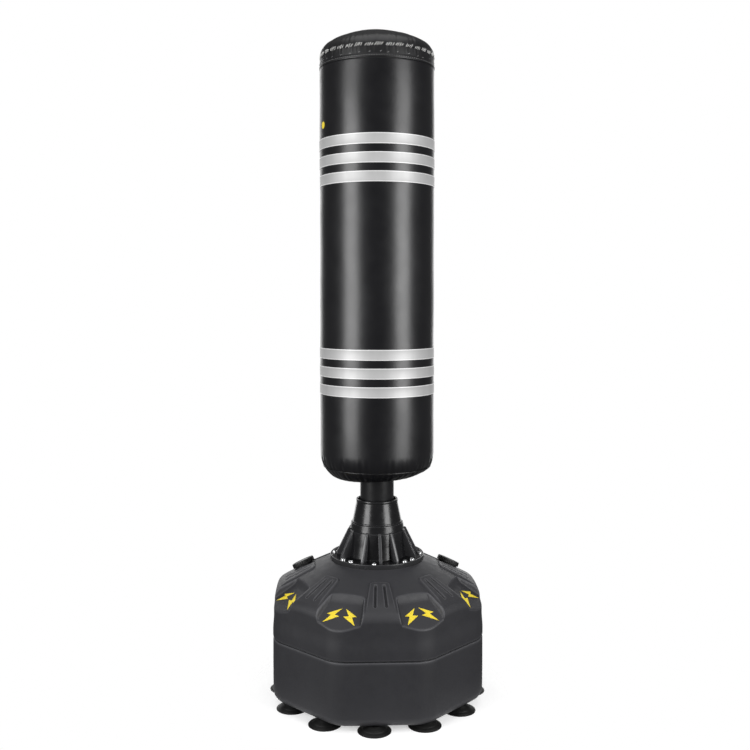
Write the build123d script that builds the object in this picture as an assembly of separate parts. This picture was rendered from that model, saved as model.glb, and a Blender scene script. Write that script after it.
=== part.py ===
from build123d import *
import os
from math import atan, cos, degrees, pi, radians, sin, tan

# A free-standing punching bag: a padded bag on a sprung steel post over a weighted tank.
# Millimetres, +Z up. The origin is on the floor, on the axis of the post. The front is -Y.
# A direction "phi" is an angle in degrees round the axis, 0 at the front and 90 at +X.

# Tank (blow-moulded octagon that is filled with water)
TANK_BOTTOM = 16.0
TANK_APOTHEM = 271.0
TANK_CORNER_R = 60.0
TANK_WALL = 7.0
TANK_SEAM_Z = 177.0
LAND_Z = 357.0
LAND_R = 125.0
CONE_SLOPE = 0.49
SHOULDER_R = 28.0
BOTTOM_EDGE_R = 24.0
WATER_LEVEL = 240.0
RIDGE_HEIGHT = 4.0
RIDGE_R = (165.0, 252.0)
RIDGE_HALF_WIDTH = (24.0, 38.0)
GROOVE_R = (174.0, 244.0)
GROOVE_OFFSET = (10.5, 14.0)
GROOVE_WIDTH = 8.0
POCKET_PHI = (-157.5, -67.5, -22.5, 22.5, 67.5, 157.5)
POCKET_FLOOR = ((215.0, 300.0), (283.0, 253.0))
POCKET_BACK_R, POCKET_BACK_Z, POCKET_MOUTH_R = 206.0, 318.0, 310.0
POCKET_HALF_WIDTH = (44.0, 70.0)
POCKET_CORNER_R = 14.0
WELL_R, WELL_BOTTOM = 40.0, 326.0
INSERT_BOSS_R, INSERT_HOLE_R, INSERT_BOTTOM = 9.5, 5.0, 341.0
CUP_BOSS_R = 13.0

# Suction cups under the tank
CUP_COUNT = 12
CUP_CIRCLE_R = 245.0
CUP_FIRST_PHI = -3.7
CUP_R = 41.5
CUP_STEM_R, CUP_STEM_TOP = 6.5, 30.0

# Fill caps at two back corners of the tank, square to the sloping top
CAP_PHI = {"left": -112.5, "right": 112.5}
CAP_CENTRE_R = 212.0
NECK_BORE_R, NECK_OUTER_R, NECK_HEIGHT, NECK_DEPTH = 23.0, 27.0, 9.0, 16.0
CAP_R, CAP_SKIRT, CAP_TOP_THICK, SEAL_THICK = 31.0, 8.0, 4.0, 2.0

# Neck: ribbed flange, collar and the parts inside
GASKET_THICK = 1.5
FLANGE_R, FLANGE_TOP = 124.0, 368.0
SCREW_CIRCLE_R = 112.5
SCREW_R, FLANGE_HOLE_R, GASKET_HOLE_R = 3.0, 3.4, 4.0
SCREW_HEAD_R, SCREW_HEAD, SCREW_END = 6.5, 4.5, 345.0
SCREW_PHI = [start + 90 * turn for turn in range(4) for start in (37.0, 51.0, 84.0)]
FIN_PHI = [start + 90 * turn for turn in range(4) for start in (3.0, 27.5, 67.0)]
SEAT_R, SEAT_Z = 98.0, (358.5, 363.5)
RIM_TOP, COLLAR_FOOT, COLLAR_TOP = 454.0, 437.0, 516.0
PIVOT_Z = 478.0
BALL_R, BUSH_R, BALL_GAP = 18.0, 22.0, 0.3
SPRING_CIRCLE_R, SPRING_R, SPRING_WIRE_R, SPRING_TURNS = 41.0, 9.2, 1.8, 6
BUMPER_CIRCLE_R, BUMPER_R, BUMPER_TOP = 47.0, 8.0, 432.5
SPRING_PHI = {"front": 0, "right": 90, "back": 180, "left": 270}

# Post
POST_R, POST_WALL = 44.5, 3.0
FOOT_R, FOOT_Z = 55.0, (440.0, 446.0)
SOCKET_R, SOCKET_TOP = 41.2, 506.0
SOCKET_BOLT_CIRCLE_R, SOCKET_BOLT_R = 30.0, 4.0
POST_TOP, END_CAP_TOP = 1500.0, 1506.0

# Bag
BAG_R = 150.0
BAG_BOTTOM, BAG_TOP = 568.0, 1740.0
COVER = 1.5
BODY_Z = (605.0, 1648.0)
SLEEVE_R = (45.2, 48.2)
BAG_GAP = 0.3
FOAM_SPLIT_R, FOAM_TOP = 100.0, 1655.0
CROWN_SEAM_Z = 1680.0
TOP_BEND_Z, TOP_BEND_R, TOP_BEND_ANGLE, CROWN_ARC_R = 1672.0, 38.3, 58.0, 263.2
CROWN_FLAT_R = 8.0
LACE_GROUPS, LACE_STROKES, LACE_STEP, LACE_SLANT = 36, 3, 2.2, 28.0
LACE_STROKE = (1.2, 1.6, 10.0)
STRIPE_WIDTH, STRIPE_PITCH, STRIPE_THICK = 27.0, 46.8, 0.5
STRIPE_FIRST_Z = (797.5, 1336.0)
DOT_PHI, DOT_Z, DOT_R = -68.7, 1490.0, 9.0

CONE_ANGLE = degrees(atan(CONE_SLOPE))
CLEAR = 400.0  # beyond the tank in every direction


def turned(phi):
    """The turn that takes the +X direction to direction phi."""
    return Rot(0, 0, phi - 90)


def at(phi, radius, z=0.0):
    """The place at direction phi, this far from the axis."""
    return turned(phi) * Pos(radius, 0, z)


def face_xz(points):
    return Plane.XZ * make_face(Polyline(*points, close=True))


def revolved(points):
    """A solid of revolution about Z, from its (radius, z) outline."""
    return revolve(face_xz(points), Axis.Z)


def ring(inner, outer, low, high):
    return revolved([(inner, low), (outer, low), (outer, high), (inner, high)])


def rod(radius, low, high):
    return Pos(0, 0, low) * Cylinder(radius, high - low, align=(Align.CENTER, Align.CENTER, Align.MIN))


def octagon(apothem, corner_radius):
    reach = apothem / cos(pi / 8)
    turns = [pi / 8 + step * pi / 4 for step in range(8)]
    outline = Polygon(*[(reach * cos(a), reach * sin(a)) for a in turns], align=None)
    return fillet(outline.vertices(), corner_radius)


def prism(outline, low, high):
    return Pos(0, 0, low) * extrude(outline, high - low, dir=(0, 0, 1))


def cone_z(radius):
    """Height of the tank's sloping top."""
    return LAND_Z - CONE_SLOPE * (radius - LAND_R)


def under_cone(lift):
    """Everything below the tank's top surface, moved up by lift."""
    top = LAND_Z + lift
    return revolved([(0, 0), (CLEAR, 0), (CLEAR, cone_z(CLEAR) + lift), (LAND_R, top), (0, top)])


# ---- tank ----


def ridges():
    """Raised panels on the eight flats, each with two long grooves."""
    inner, outer = RIDGE_R
    narrow, wide = RIDGE_HALF_WIDTH
    panel = fillet(
        Polygon((inner, -narrow), (inner, narrow), (outer, wide), (outer, -wide), align=None).vertices(), 7
    )
    length = GROOVE_R[1] - GROOVE_R[0]
    middle = sum(GROOVE_R) / 2
    offset = sum(GROOVE_OFFSET) / 2
    splay = degrees(atan((GROOVE_OFFSET[1] - GROOVE_OFFSET[0]) / length))
    for side in (-1, 1):
        groove = SlotCenterToCenter(length - GROOVE_WIDTH, GROOVE_WIDTH)
        panel -= Pos(middle, side * offset) * Rot(0, 0, side * splay) * groove
    one = prism(panel, TANK_SEAM_Z, CLEAR) & under_cone(RIDGE_HEIGHT)
    one -= under_cone(-3)
    return [Rot(0, 0, 45 * step) * one for step in range(8)]


def pocket(grow=0.0):
    """The space of one sunk corner, along +X. grow makes it larger all round, for the wall under it."""
    (floor_in, z_in), (floor_out, z_out) = POCKET_FLOOR
    back, mouth = POCKET_BACK_R - grow, POCKET_MOUTH_R
    narrow, wide = [half + grow for half in POCKET_HALF_WIDTH]
    z_mouth = z_out - (mouth - floor_out) * (z_in - z_out) / (floor_out - floor_in)
    plan = Polygon((back, -narrow), (back, narrow), (mouth, wide), (mouth, -wide), align=None)
    plan = fillet(plan.vertices().sort_by(Axis.X)[:2], POCKET_CORNER_R)
    sink = 1.2 * grow
    side = face_xz(
        [
            (back, CLEAR),
            (back, POCKET_BACK_Z - sink),
            (floor_in - grow, z_in - sink),
            (mouth, z_mouth - sink),
            (mouth, CLEAR),
        ]
    )
    return prism(plan, 0, CLEAR) & extrude(side, CLEAR / 4, both=True)


def cap_frame(phi):
    """Frame on the tank's slope where a fill neck stands, its Z square to the slope."""
    return at(phi, CAP_CENTRE_R, cone_z(CAP_CENTRE_R)) * Rot(0, CONE_ANGLE, 0)


def cup_frames():
    return [at(CUP_FIRST_PHI + 360 / CUP_COUNT * n, CUP_CIRCLE_R) for n in range(CUP_COUNT)]


def tank_outside():
    """The tank's rounded outer shape, before its ridges and pockets."""
    body = prism(octagon(TANK_APOTHEM, TANK_CORNER_R), TANK_BOTTOM, CLEAR) & under_cone(0)
    body = fillet(body.edges().group_by(Axis.Z)[0], BOTTOM_EDGE_R)
    walls = [f for f in body.faces() if abs(f.normal_at().Z) < 0.01 and f.bounding_box().size.Z > 150]
    edges = [edge for wall in walls for edge in wall.edges()]
    shoulder = [e for e in edges if e.center().Z > WATER_LEVEL + 20 and abs(e.tangent_at(0.5).Z) < 0.5]
    return fillet(shoulder, SHOULDER_R)


def tank_inside():
    """The hollow of the tank, with its bosses left solid."""
    hollow = prism(octagon(TANK_APOTHEM - TANK_WALL, TANK_CORNER_R - TANK_WALL), TANK_BOTTOM + TANK_WALL, CLEAR)
    hollow &= under_cone(-TANK_WALL - 2)
    hollow = fillet(hollow.edges().group_by(Axis.Z)[0], BOTTOM_EDGE_R - TANK_WALL)
    hollow -= rod(WELL_R + TANK_WALL, WELL_BOTTOM - TANK_WALL, CLEAR)
    hollow -= [at(phi, SCREW_CIRCLE_R) * rod(INSERT_BOSS_R, INSERT_BOTTOM - 6, CLEAR) for phi in SCREW_PHI]
    hollow -= [turned(phi) * pocket(TANK_WALL) for phi in POCKET_PHI]
    hollow -= [frame * rod(CUP_BOSS_R, 0, CUP_STEM_TOP + TANK_WALL) for frame in cup_frames()]
    hollow -= [cap_frame(phi) * rod(NECK_BORE_R + TANK_WALL, -NECK_DEPTH, 30) for phi in CAP_PHI.values()]
    return hollow


def base_tank():
    """The hollow tank, with a seam groove round its side and a well under the neck."""
    tank = tank_outside()
    tank += ridges()
    tank -= [turned(phi) * pocket() for phi in POCKET_PHI]
    seam = octagon(TANK_APOTHEM + 20, TANK_CORNER_R) - octagon(TANK_APOTHEM - 2, TANK_CORNER_R - 2)
    tank -= prism(seam, TANK_SEAM_Z - 1.5, TANK_SEAM_Z + 1.5)
    tank -= rod(WELL_R, WELL_BOTTOM, CLEAR)
    tank -= [at(phi, SCREW_CIRCLE_R) * rod(INSERT_HOLE_R, INSERT_BOTTOM, CLEAR) for phi in SCREW_PHI]
    tank -= [frame * rod(CUP_STEM_R + 0.1, 0, CUP_STEM_TOP) for frame in cup_frames()]
    tank += [cap_frame(phi) * rod(NECK_OUTER_R, -NECK_DEPTH / 2, NECK_HEIGHT) for phi in CAP_PHI.values()]
    tank -= tank_inside()
    tank -= [cap_frame(phi) * rod(NECK_BORE_R, -NECK_DEPTH - 20, 40) for phi in CAP_PHI.values()]
    return tank


def ballast_water():
    """The water that fills the tank most of the way."""
    gap = 0.5
    water = prism(
        octagon(TANK_APOTHEM - TANK_WALL - gap, TANK_CORNER_R - TANK_WALL - gap),
        TANK_BOTTOM + TANK_WALL + gap,
        WATER_LEVEL,
    )
    water = fillet(water.edges().group_by(Axis.Z)[0], BOTTOM_EDGE_R - TANK_WALL)
    boss_top = CUP_STEM_TOP + TANK_WALL + gap
    return water - [frame * rod(CUP_BOSS_R + gap, 0, boss_top) for frame in cup_frames()]


def suction_cup():
    """A rubber cup: flat lip on the floor, thin bell, and a stem that plugs into the tank."""
    half = make_face(
        [
            Line((36.5, 0), (CUP_R, 0)),
            Line((CUP_R, 0), (CUP_R, 1.5)),
            ThreePointArc((CUP_R, 1.5), (28.0, 7.0), (15.0, TANK_BOTTOM)),
            Line((15.0, TANK_BOTTOM), (CUP_STEM_R, TANK_BOTTOM)),
            Line((CUP_STEM_R, TANK_BOTTOM), (CUP_STEM_R, CUP_STEM_TOP - 0.5)),
            Line((CUP_STEM_R, CUP_STEM_TOP - 0.5), (0, CUP_STEM_TOP - 0.5)),
            Line((0, CUP_STEM_TOP - 0.5), (0, 7.0)),
            ThreePointArc((0, 7.0), (20.0, 5.0), (36.5, 0)),
        ]
    )
    return revolve(Plane.XZ * half, Axis.Z)


def pocket_marks():
    """Two leaning lightning shapes on the floor of each sunk corner."""
    (r_in, z_in), (r_out, z_out) = POCKET_FLOOR
    run, fall = r_out - r_in, z_in - z_out
    length = (run**2 + fall**2) ** 0.5
    middle = (r_in + 0.5 * run, z_in - 0.5 * fall)
    outward = (fall / length, run / length)
    floor = Plane(
        origin=(middle[0] + 0.05 * outward[0], 0, middle[1] + 0.05 * outward[1]),
        x_dir=(0, 1, 0),
        z_dir=(outward[0], 0, outward[1]),
    )
    bolt = Polygon(
        (4, 24), (-9, -1), (0, -1), (-5, -24), (10, 5), (1, 5), (12, 24), align=None
    )
    marks = []
    for side in (-1, 1):
        shape = bolt if side > 0 else mirror(bolt, Plane.YZ)
        marks.append(floor * (Pos(side * 21, 0) * Rot(0, 0, side * 28) * extrude(shape, 0.4)))
    return [turned(phi) * mark for phi in POCKET_PHI for mark in marks]


def fill_seal():
    """A flat ring between the neck and its cap."""
    return Pos(0, 0, NECK_HEIGHT) * ring(NECK_BORE_R, NECK_OUTER_R, 0.05, SEAL_THICK)


def fill_cap():
    """A screw cap that reaches down round the neck, with finger scallops round its edge."""
    inside = NECK_HEIGHT + SEAL_THICK + 0.05
    cap = rod(CAP_R, inside - CAP_SKIRT, inside + CAP_TOP_THICK)
    cap = fillet(cap.edges().group_by(Axis.Z)[-1], 3)
    scallops = [Rot(0, 0, 30 * n) * Pos(CAP_R + 2.5, 0) * rod(4.0, 0, 40) for n in range(12)]
    return cap - scallops - rod(NECK_OUTER_R + 0.3, 0, inside)


# ---- neck ----


def neck_gasket():
    """A flat ring between the tank and the flange."""
    plate = ring(60.0, FLANGE_R - 1, LAND_Z, LAND_Z + GASKET_THICK)
    return plate - [at(phi, SCREW_CIRCLE_R) * rod(GASKET_HOLE_R, 0, CLEAR) for phi in SCREW_PHI]


def neck_flange():
    """The screwed-down disc with its tapering ribbed shell, clamping the seat plate under it."""
    low, clamp = LAND_Z + GASKET_THICK, SEAT_Z[1]
    body = revolved(
        [
            (66.0, clamp),
            (SEAT_R + 0.5, clamp),
            (SEAT_R + 0.5, low),
            (FLANGE_R, low),
            (FLANGE_R, FLANGE_TOP - 2),
            (FLANGE_R - 2, FLANGE_TOP),
            (80.5, FLANGE_TOP),
            (76.5, 400.0),
            (73.0, 434.0),
            (68.5, RIM_TOP),
            (65.3, RIM_TOP),
            (65.3, COLLAR_FOOT),
            (62.5, COLLAR_FOOT),
            (62.5, COLLAR_FOOT - 6),
            (69.0, 420.0),
            (72.5, 400.0),
            (76.0, 372.0),
            (66.0, 372.0),
        ]
    )
    fin = face_xz([(70, FLANGE_TOP - 1), (108, FLANGE_TOP - 1), (107, 375), (76, 437.5), (70, 437.5)])
    blade = extrude(fin, 4, both=True) - revolved([(0, 300), (72.5, 300), (71, 434), (66, 460), (0, 460)])
    body += [turned(phi) * blade for phi in FIN_PHI]
    return body - [at(phi, SCREW_CIRCLE_R) * rod(FLANGE_HOLE_R, 0, CLEAR) for phi in SCREW_PHI]


def flange_screw():
    """A pan-head screw with a cross slot."""
    head = rod(SCREW_HEAD_R, FLANGE_TOP, FLANGE_TOP + SCREW_HEAD)
    head = fillet(head.edges().group_by(Axis.Z)[-1], 2.0)
    head -= Pos(0, 0, FLANGE_TOP + SCREW_HEAD) * (Box(7, 1.6, 4) + Box(1.6, 7, 4))
    return head + rod(SCREW_R, SCREW_END, FLANGE_TOP)


def threaded_insert():
    """A brass thread moulded into the tank for a flange screw."""
    return ring(3.1, 4.9, 342.0, LAND_Z)


def spring_seat_plate():
    """The steel disc that carries the ball stud and the springs' lower ends."""
    plate = ring(8.4, SEAT_R, *SEAT_Z)
    return plate + [at(phi, SPRING_CIRCLE_R) * rod(6, SEAT_Z[1], SEAT_Z[1] + 5) for phi in SPRING_PHI.values()]


def ball_stud():
    """The stud bolted through the seat plate, with the ball that the post swings on."""
    stem = revolved(
        [(0, 333), (8, 333), (8, SEAT_Z[1]), (16, SEAT_Z[1]), (16, 371), (9, 378), (9, PIVOT_Z - 8), (0, PIVOT_Z - 8)]
    )
    return stem + Pos(0, 0, PIVOT_Z) * Sphere(BALL_R)


def ball_stud_nut():
    """The hex nut under the seat plate."""
    nut = prism(RegularPolygon(13.9, 6), SEAT_Z[0] - 13, SEAT_Z[0])
    return nut - rod(8.2, 300, 400)


def coil_spring():
    """One of the four compression springs between the seat plate and the post's foot."""
    clearance = SPRING_WIRE_R + 0.3
    height = FOOT_Z[0] - SEAT_Z[1] - 2 * clearance
    path = Pos(0, 0, SEAT_Z[1] + clearance) * Helix(height / SPRING_TURNS, height, SPRING_R)
    section = Plane(origin=path @ 0, z_dir=path % 0) * Circle(SPRING_WIRE_R)
    return sweep(section, path=path)


def rubber_bumper():
    """A rubber stop that the post's foot meets at the end of its tilt."""
    bumper = rod(BUMPER_R, SEAT_Z[1], BUMPER_TOP)
    return chamfer(bumper.edges().group_by(Axis.Z)[-1], 2.0)


def neck_collar():
    """The tapering collar round the post, resting on the flange's rim."""
    return revolved(
        [
            (61.6, COLLAR_FOOT),
            (65.0, COLLAR_FOOT),
            (65.0, RIM_TOP),
            (54.6, 511.0),
            (54.3, 514.5),
            (53.2, COLLAR_TOP),
            (51.4, COLLAR_TOP),
            (50.3, 514.5),
            (50.3, 509.0),
            (61.2, RIM_TOP),
        ]
    )


def pivot_bush():
    """The elastomer shell between the ball and its socket."""
    opening = 38.0
    depth = 40.0
    shell = Sphere(BUSH_R) - Sphere(BALL_R + BALL_GAP)
    shell -= Pos(0, 0, -depth / 2) * Cone(depth * tan(radians(opening)), 0, depth)
    return Pos(0, 0, PIVOT_Z) * shell


# ---- post ----


def socket_bolt_places():
    return [at(45 + 90 * n, SOCKET_BOLT_CIRCLE_R) for n in range(4)]


def post_foot_plate():
    """The disc under the post, with a boss for each spring."""
    plate = ring(17.0, FOOT_R, *FOOT_Z)
    plate += [at(phi, SPRING_CIRCLE_R) * rod(6, FOOT_Z[0] - 5, FOOT_Z[0]) for phi in SPRING_PHI.values()]
    return plate - [place * rod(SOCKET_BOLT_R + 0.2, 400, 460) for place in socket_bolt_places()]


def ball_socket():
    """The upper half of the block that holds the ball."""
    block = rod(SOCKET_R, PIVOT_Z, SOCKET_TOP) - Pos(0, 0, PIVOT_Z) * Sphere(BUSH_R + BALL_GAP)
    return block - [place * rod(SOCKET_BOLT_R + 0.2, 400, 501) for place in socket_bolt_places()]


def socket_retainer():
    """The lower half of that block, bolted up to hold the ball in."""
    block = rod(SOCKET_R, FOOT_Z[1], PIVOT_Z) - Pos(0, 0, PIVOT_Z) * Sphere(BUSH_R + BALL_GAP)
    block -= rod(15.0, FOOT_Z[1] - 1, PIVOT_Z)
    return block - [place * rod(SOCKET_BOLT_R + 0.2, 400, 501) for place in socket_bolt_places()]


def socket_bolts():
    """Four bolts that hold the foot plate, the retainer and the socket together."""
    bolt = rod(6.0, FOOT_Z[0] - 5, FOOT_Z[0]) + rod(SOCKET_BOLT_R, FOOT_Z[0], 500)
    return [place * bolt for place in socket_bolt_places()]


def post_tube():
    return ring(POST_R - POST_WALL, POST_R, FOOT_Z[1], POST_TOP)


def post_end_cap():
    """The plug on top of the post that the bag hangs its weight on and turns round."""
    plug = ring(SOCKET_R - 4, SOCKET_R, POST_TOP - 25, POST_TOP)
    head = rod(POST_R, POST_TOP, END_CAP_TOP)
    return plug + fillet(head.edges().group_by(Axis.Z)[-1], 2.0)


# ---- bag ----


def bag_outline(inset):
    """The bag's side, from the hole round the post to the crown, moved in by inset."""
    r = BAG_R - inset
    low = BAG_BOTTOM + inset
    bottom = [
        Line((SLEEVE_R[0] + BAG_GAP, low), (108 - inset, low + 6)),
        Spline((108 - inset, low + 6), (141 - inset, BODY_Z[0]), (r, 638), tangents=((1, 0.12), (0, 1))),
    ]

    def bend(angle):
        reach = TOP_BEND_R - inset
        return (BAG_R - TOP_BEND_R + reach * cos(radians(angle)), TOP_BEND_Z + reach * sin(radians(angle)))

    def crown(radius):
        centre = BAG_TOP - (CROWN_ARC_R**2 - CROWN_FLAT_R**2) ** 0.5
        return (radius, centre + ((CROWN_ARC_R - inset) ** 2 - radius**2) ** 0.5)

    top = [
        Line((r, 638), (r, TOP_BEND_Z)),
        ThreePointArc((r, TOP_BEND_Z), bend(TOP_BEND_ANGLE / 2), bend(TOP_BEND_ANGLE)),
        ThreePointArc(bend(TOP_BEND_ANGLE), crown(BAG_R / 2), crown(CROWN_FLAT_R)),
        Line(crown(CROWN_FLAT_R), (0, crown(CROWN_FLAT_R)[1])),
    ]
    return bottom + top


def bag_solid(inset):
    """The whole bag as one solid of revolution, without the bore."""
    side = bag_outline(inset)
    start, end = side[0] @ 0, side[-1] @ 1
    axis = Line((0, end.Y), (0, start.Y))
    foot = Line((0, start.Y), (start.X, start.Y))
    return revolve(Plane.XZ * make_face(side + [axis, foot]), Axis.Z)


def slab(low, high):
    return Pos(0, 0, (low + high) / 2) * Box(CLEAR, CLEAR, high - low)


def cover_pieces():
    """The cover as its sewn panels: bottom, side, band and crown."""
    skin = bag_solid(0) - bag_solid(COVER) - rod(SLEEVE_R[0] + BAG_GAP, BAG_BOTTOM - CLEAR, BAG_BOTTOM + CLEAR)
    seam = 0.1
    return {
        "cover_bottom_panel": skin & slab(500, BODY_Z[0] - seam),
        "cover_side_panel": skin & slab(BODY_Z[0], BODY_Z[1] - seam),
        "cover_top_band": skin & slab(BODY_Z[1], CROWN_SEAM_Z - seam),
        "cover_top_panel": skin & slab(CROWN_SEAM_Z, 1800),
    }


def filling(inner, outer, low, high):
    """Part of what fills the cover: the space from inner to outer radius, between two heights."""
    block = rod(outer, low, high) if inner == 0 else ring(inner, outer, low, high)
    return bag_solid(COVER + 0.3) & block


def lacing_stitches():
    """Groups of short slanting stitches that draw the crown's edge down to the band."""
    radial = LACE_STROKE[0]
    stroke = Pos(BAG_R + 0.1 + radial / 2, 0, CROWN_SEAM_Z) * Rot(LACE_SLANT, 0, 0) * Box(*LACE_STROKE)
    turns = [360 / LACE_GROUPS * n + LACE_STEP * k for n in range(LACE_GROUPS) for k in range(LACE_STROKES)]
    return [Rot(0, 0, turn) * stroke for turn in turns]


def stripe(low):
    return ring(BAG_R + 0.05, BAG_R + 0.05 + STRIPE_THICK, low, low + STRIPE_WIDTH)


def side_dot():
    shell = ring(BAG_R + 0.05, BAG_R + 0.05 + STRIPE_THICK, DOT_Z - 20, DOT_Z + 20)
    return shell & (at(DOT_PHI, BAG_R, DOT_Z) * Rot(0, 90, 0) * Cylinder(DOT_R, 30))


def parts():
    """Every node's name with its solid or solids."""
    made = {
        "base_tank": base_tank(),
        "ballast_water": ballast_water(),
        "pocket_marks": pocket_marks(),
        "neck_gasket": neck_gasket(),
        "neck_flange": neck_flange(),
        "flange_screws": [at(phi, SCREW_CIRCLE_R) * flange_screw() for phi in SCREW_PHI],
        "threaded_inserts": [at(phi, SCREW_CIRCLE_R) * threaded_insert() for phi in SCREW_PHI],
        "spring_seat_plate": spring_seat_plate(),
        "ball_stud": ball_stud(),
        "ball_stud_nut": ball_stud_nut(),
        "neck_collar": neck_collar(),
        "pivot_bush": pivot_bush(),
        "post_foot_plate": post_foot_plate(),
        "ball_socket": ball_socket(),
        "socket_retainer": socket_retainer(),
        "socket_bolts": socket_bolts(),
        "post_tube": post_tube(),
        "post_end_cap": post_end_cap(),
        "core_sleeve": ring(*SLEEVE_R, 572.0, END_CAP_TOP),
        "inner_foam": filling(SLEEVE_R[1] + 0.1, FOAM_SPLIT_R - 0.1, 560, END_CAP_TOP),
        "outer_foam": filling(FOAM_SPLIT_R, BAG_R, 560, FOAM_TOP),
        "top_foam": filling(0, FOAM_SPLIT_R - 0.1, END_CAP_TOP + 0.1, FOAM_TOP),
        "crown_foam": filling(0, BAG_R, FOAM_TOP + 0.1, 1800),
        "lacing_stitches": lacing_stitches(),
        "side_dot": side_dot(),
    }
    made.update(cover_pieces())
    for number, frame in enumerate(cup_frames(), 1):
        made[f"suction_cup_{number:02d}"] = frame * suction_cup()
    for side, phi in CAP_PHI.items():
        made[f"fill_seal_{side}"] = cap_frame(phi) * fill_seal()
        made[f"fill_cap_{side}"] = cap_frame(phi) * fill_cap()
    for side, phi in SPRING_PHI.items():
        made[f"spring_{side}"] = at(phi, SPRING_CIRCLE_R) * coil_spring()
        made[f"bumper_{side}"] = at(phi + 45, BUMPER_CIRCLE_R) * rubber_bumper()
    for group, first in zip(("lower", "upper"), STRIPE_FIRST_Z):
        for number in range(3):
            made[f"stripe_{group}_{number + 1}"] = stripe(first + STRIPE_PITCH * number)
    return made


os.makedirs("parts", exist_ok=True)
for name, shape in parts().items():
    solids = shape if isinstance(shape, list) else shape.solids()
    export_step(Compound(children=list(solids)) if len(solids) > 1 else solids[0], f"parts/{name}.step")
    print(name, len(solids), round(sum(s.volume for s in solids)))
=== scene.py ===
from math import atan, atan2, cos, degrees, pi, radians, sin, sqrt, tan

import bmesh
import bpy
import numpy as np
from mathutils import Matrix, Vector


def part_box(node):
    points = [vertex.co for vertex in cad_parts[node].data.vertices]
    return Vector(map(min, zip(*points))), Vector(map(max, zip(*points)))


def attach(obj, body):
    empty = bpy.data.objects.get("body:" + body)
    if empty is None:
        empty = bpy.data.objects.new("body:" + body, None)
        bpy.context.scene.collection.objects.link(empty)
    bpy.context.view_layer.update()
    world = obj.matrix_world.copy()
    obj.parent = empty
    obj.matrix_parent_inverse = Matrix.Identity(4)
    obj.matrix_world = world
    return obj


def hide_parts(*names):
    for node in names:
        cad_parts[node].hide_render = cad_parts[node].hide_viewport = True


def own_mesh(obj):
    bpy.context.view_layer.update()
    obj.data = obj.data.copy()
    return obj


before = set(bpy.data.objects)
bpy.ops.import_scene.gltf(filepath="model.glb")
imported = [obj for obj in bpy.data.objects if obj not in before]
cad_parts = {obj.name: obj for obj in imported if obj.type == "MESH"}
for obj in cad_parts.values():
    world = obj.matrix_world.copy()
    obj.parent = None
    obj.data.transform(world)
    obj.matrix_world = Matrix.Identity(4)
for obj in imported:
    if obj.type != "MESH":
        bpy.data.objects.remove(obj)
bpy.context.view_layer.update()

# A free-standing punching bag: a padded bag on a sprung post over a water-filled tank.
# Sizes here are millimetres, and each mesh is scaled to metres when it is made. The axis
# of the post is Z, the front is -Y, and a direction "phi" runs in degrees from the front
# towards +X.
MM = 0.001
CHANCE = np.random.default_rng(7)


def span(node):
    """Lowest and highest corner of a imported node, in millimetres."""
    low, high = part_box(node)
    return [c / MM for c in low], [c / MM for c in high]


(_, _, TANK_BOTTOM), (TANK_APOTHEM, _, _) = span("base_tank")
(_, _, SIDE_BOTTOM), (BAG_R, _, _) = span("cover_side_panel")
(_, _, BAND_BOTTOM), (_, _, BAND_TOP) = span("cover_top_band")
BAG_TOP = span("cover_top_panel")[1][2]
BAG_BOTTOM = span("cover_bottom_panel")[0][2]
FLANGE_R = span("neck_flange")[1][0]
TANK_CORNER_R = 85.0
# The lacing and the band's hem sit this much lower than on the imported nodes.
SEWN_DROP = 6.5
LACE_Z = BAND_TOP - SEWN_DROP
HEM_Z = BAND_BOTTOM - SEWN_DROP
# Top of the flange's flat disc, which the screws and the fins stand on.
DISC_TOP = 368.0
# Metres, degrees and millimetres of focal length. The camera looks at the post's axis.
CAMERA = {
    "azimuth": -2.2, "distance": 2.5, "height": 1.05, "pitch": 2.0, "lens": 45.4, "shift": (-0.0027, -0.06)
}


# ---- mesh helpers ----


def in_scene(name, data):
    piece = bpy.data.objects.new(name, data)
    bpy.context.scene.collection.objects.link(piece)
    return piece


def finish_mesh(name, mesh, material, angle=35.0):
    """An object from a mesh in millimetres, smooth apart from edges sharper than angle."""
    mesh.transform(((MM, 0, 0, 0), (0, MM, 0, 0), (0, 0, MM, 0), (0, 0, 0, 1)))
    mesh.shade_smooth()
    if angle:
        mesh.set_sharp_from_angle(angle=radians(angle))
    mesh.materials.append(material)
    return in_scene(name, mesh)


def mesh_from(name, points, faces):
    mesh = bpy.data.meshes.new(name)
    mesh.from_pydata([tuple(p) for p in points], [], faces)
    return mesh


def tidy_mesh(mesh):
    """Joins doubled points, drops flat faces and turns every face outwards."""
    work = bmesh.new()
    work.from_mesh(mesh)
    bmesh.ops.remove_doubles(work, verts=work.verts, dist=1e-4)
    bmesh.ops.dissolve_degenerate(work, edges=work.edges, dist=1e-4)
    bmesh.ops.recalc_face_normals(work, faces=work.faces)
    work.to_mesh(mesh)
    work.free()


def grid_faces(rows, columns, wrap_rows=False):
    """Faces of a grid that closes on itself across its columns."""
    index = np.arange(rows * columns).reshape(rows, columns)
    if wrap_rows:
        index = np.vstack([index, index[:1]])
    beside = np.roll(index, -1, axis=1)
    quads = np.stack([index[:-1], index[1:], beside[1:], beside[:-1]], axis=-1)
    return quads.reshape(-1, 4).tolist()


def capped_faces(rows, columns):
    """Faces of a grid as above, with its first and last rows closed flat."""
    first, last = list(range(columns)), list(range((rows - 1) * columns, rows * columns))
    return grid_faces(rows, columns) + [first, last]


def prism_faces(count):
    """Faces between two copies of a flat outline of count points, the first one upwards."""
    faces = [list(range(count)), list(range(2 * count - 1, count - 1, -1))]
    return faces + [[n, count + n, count + (n + 1) % count, (n + 1) % count] for n in range(count)]


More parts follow.
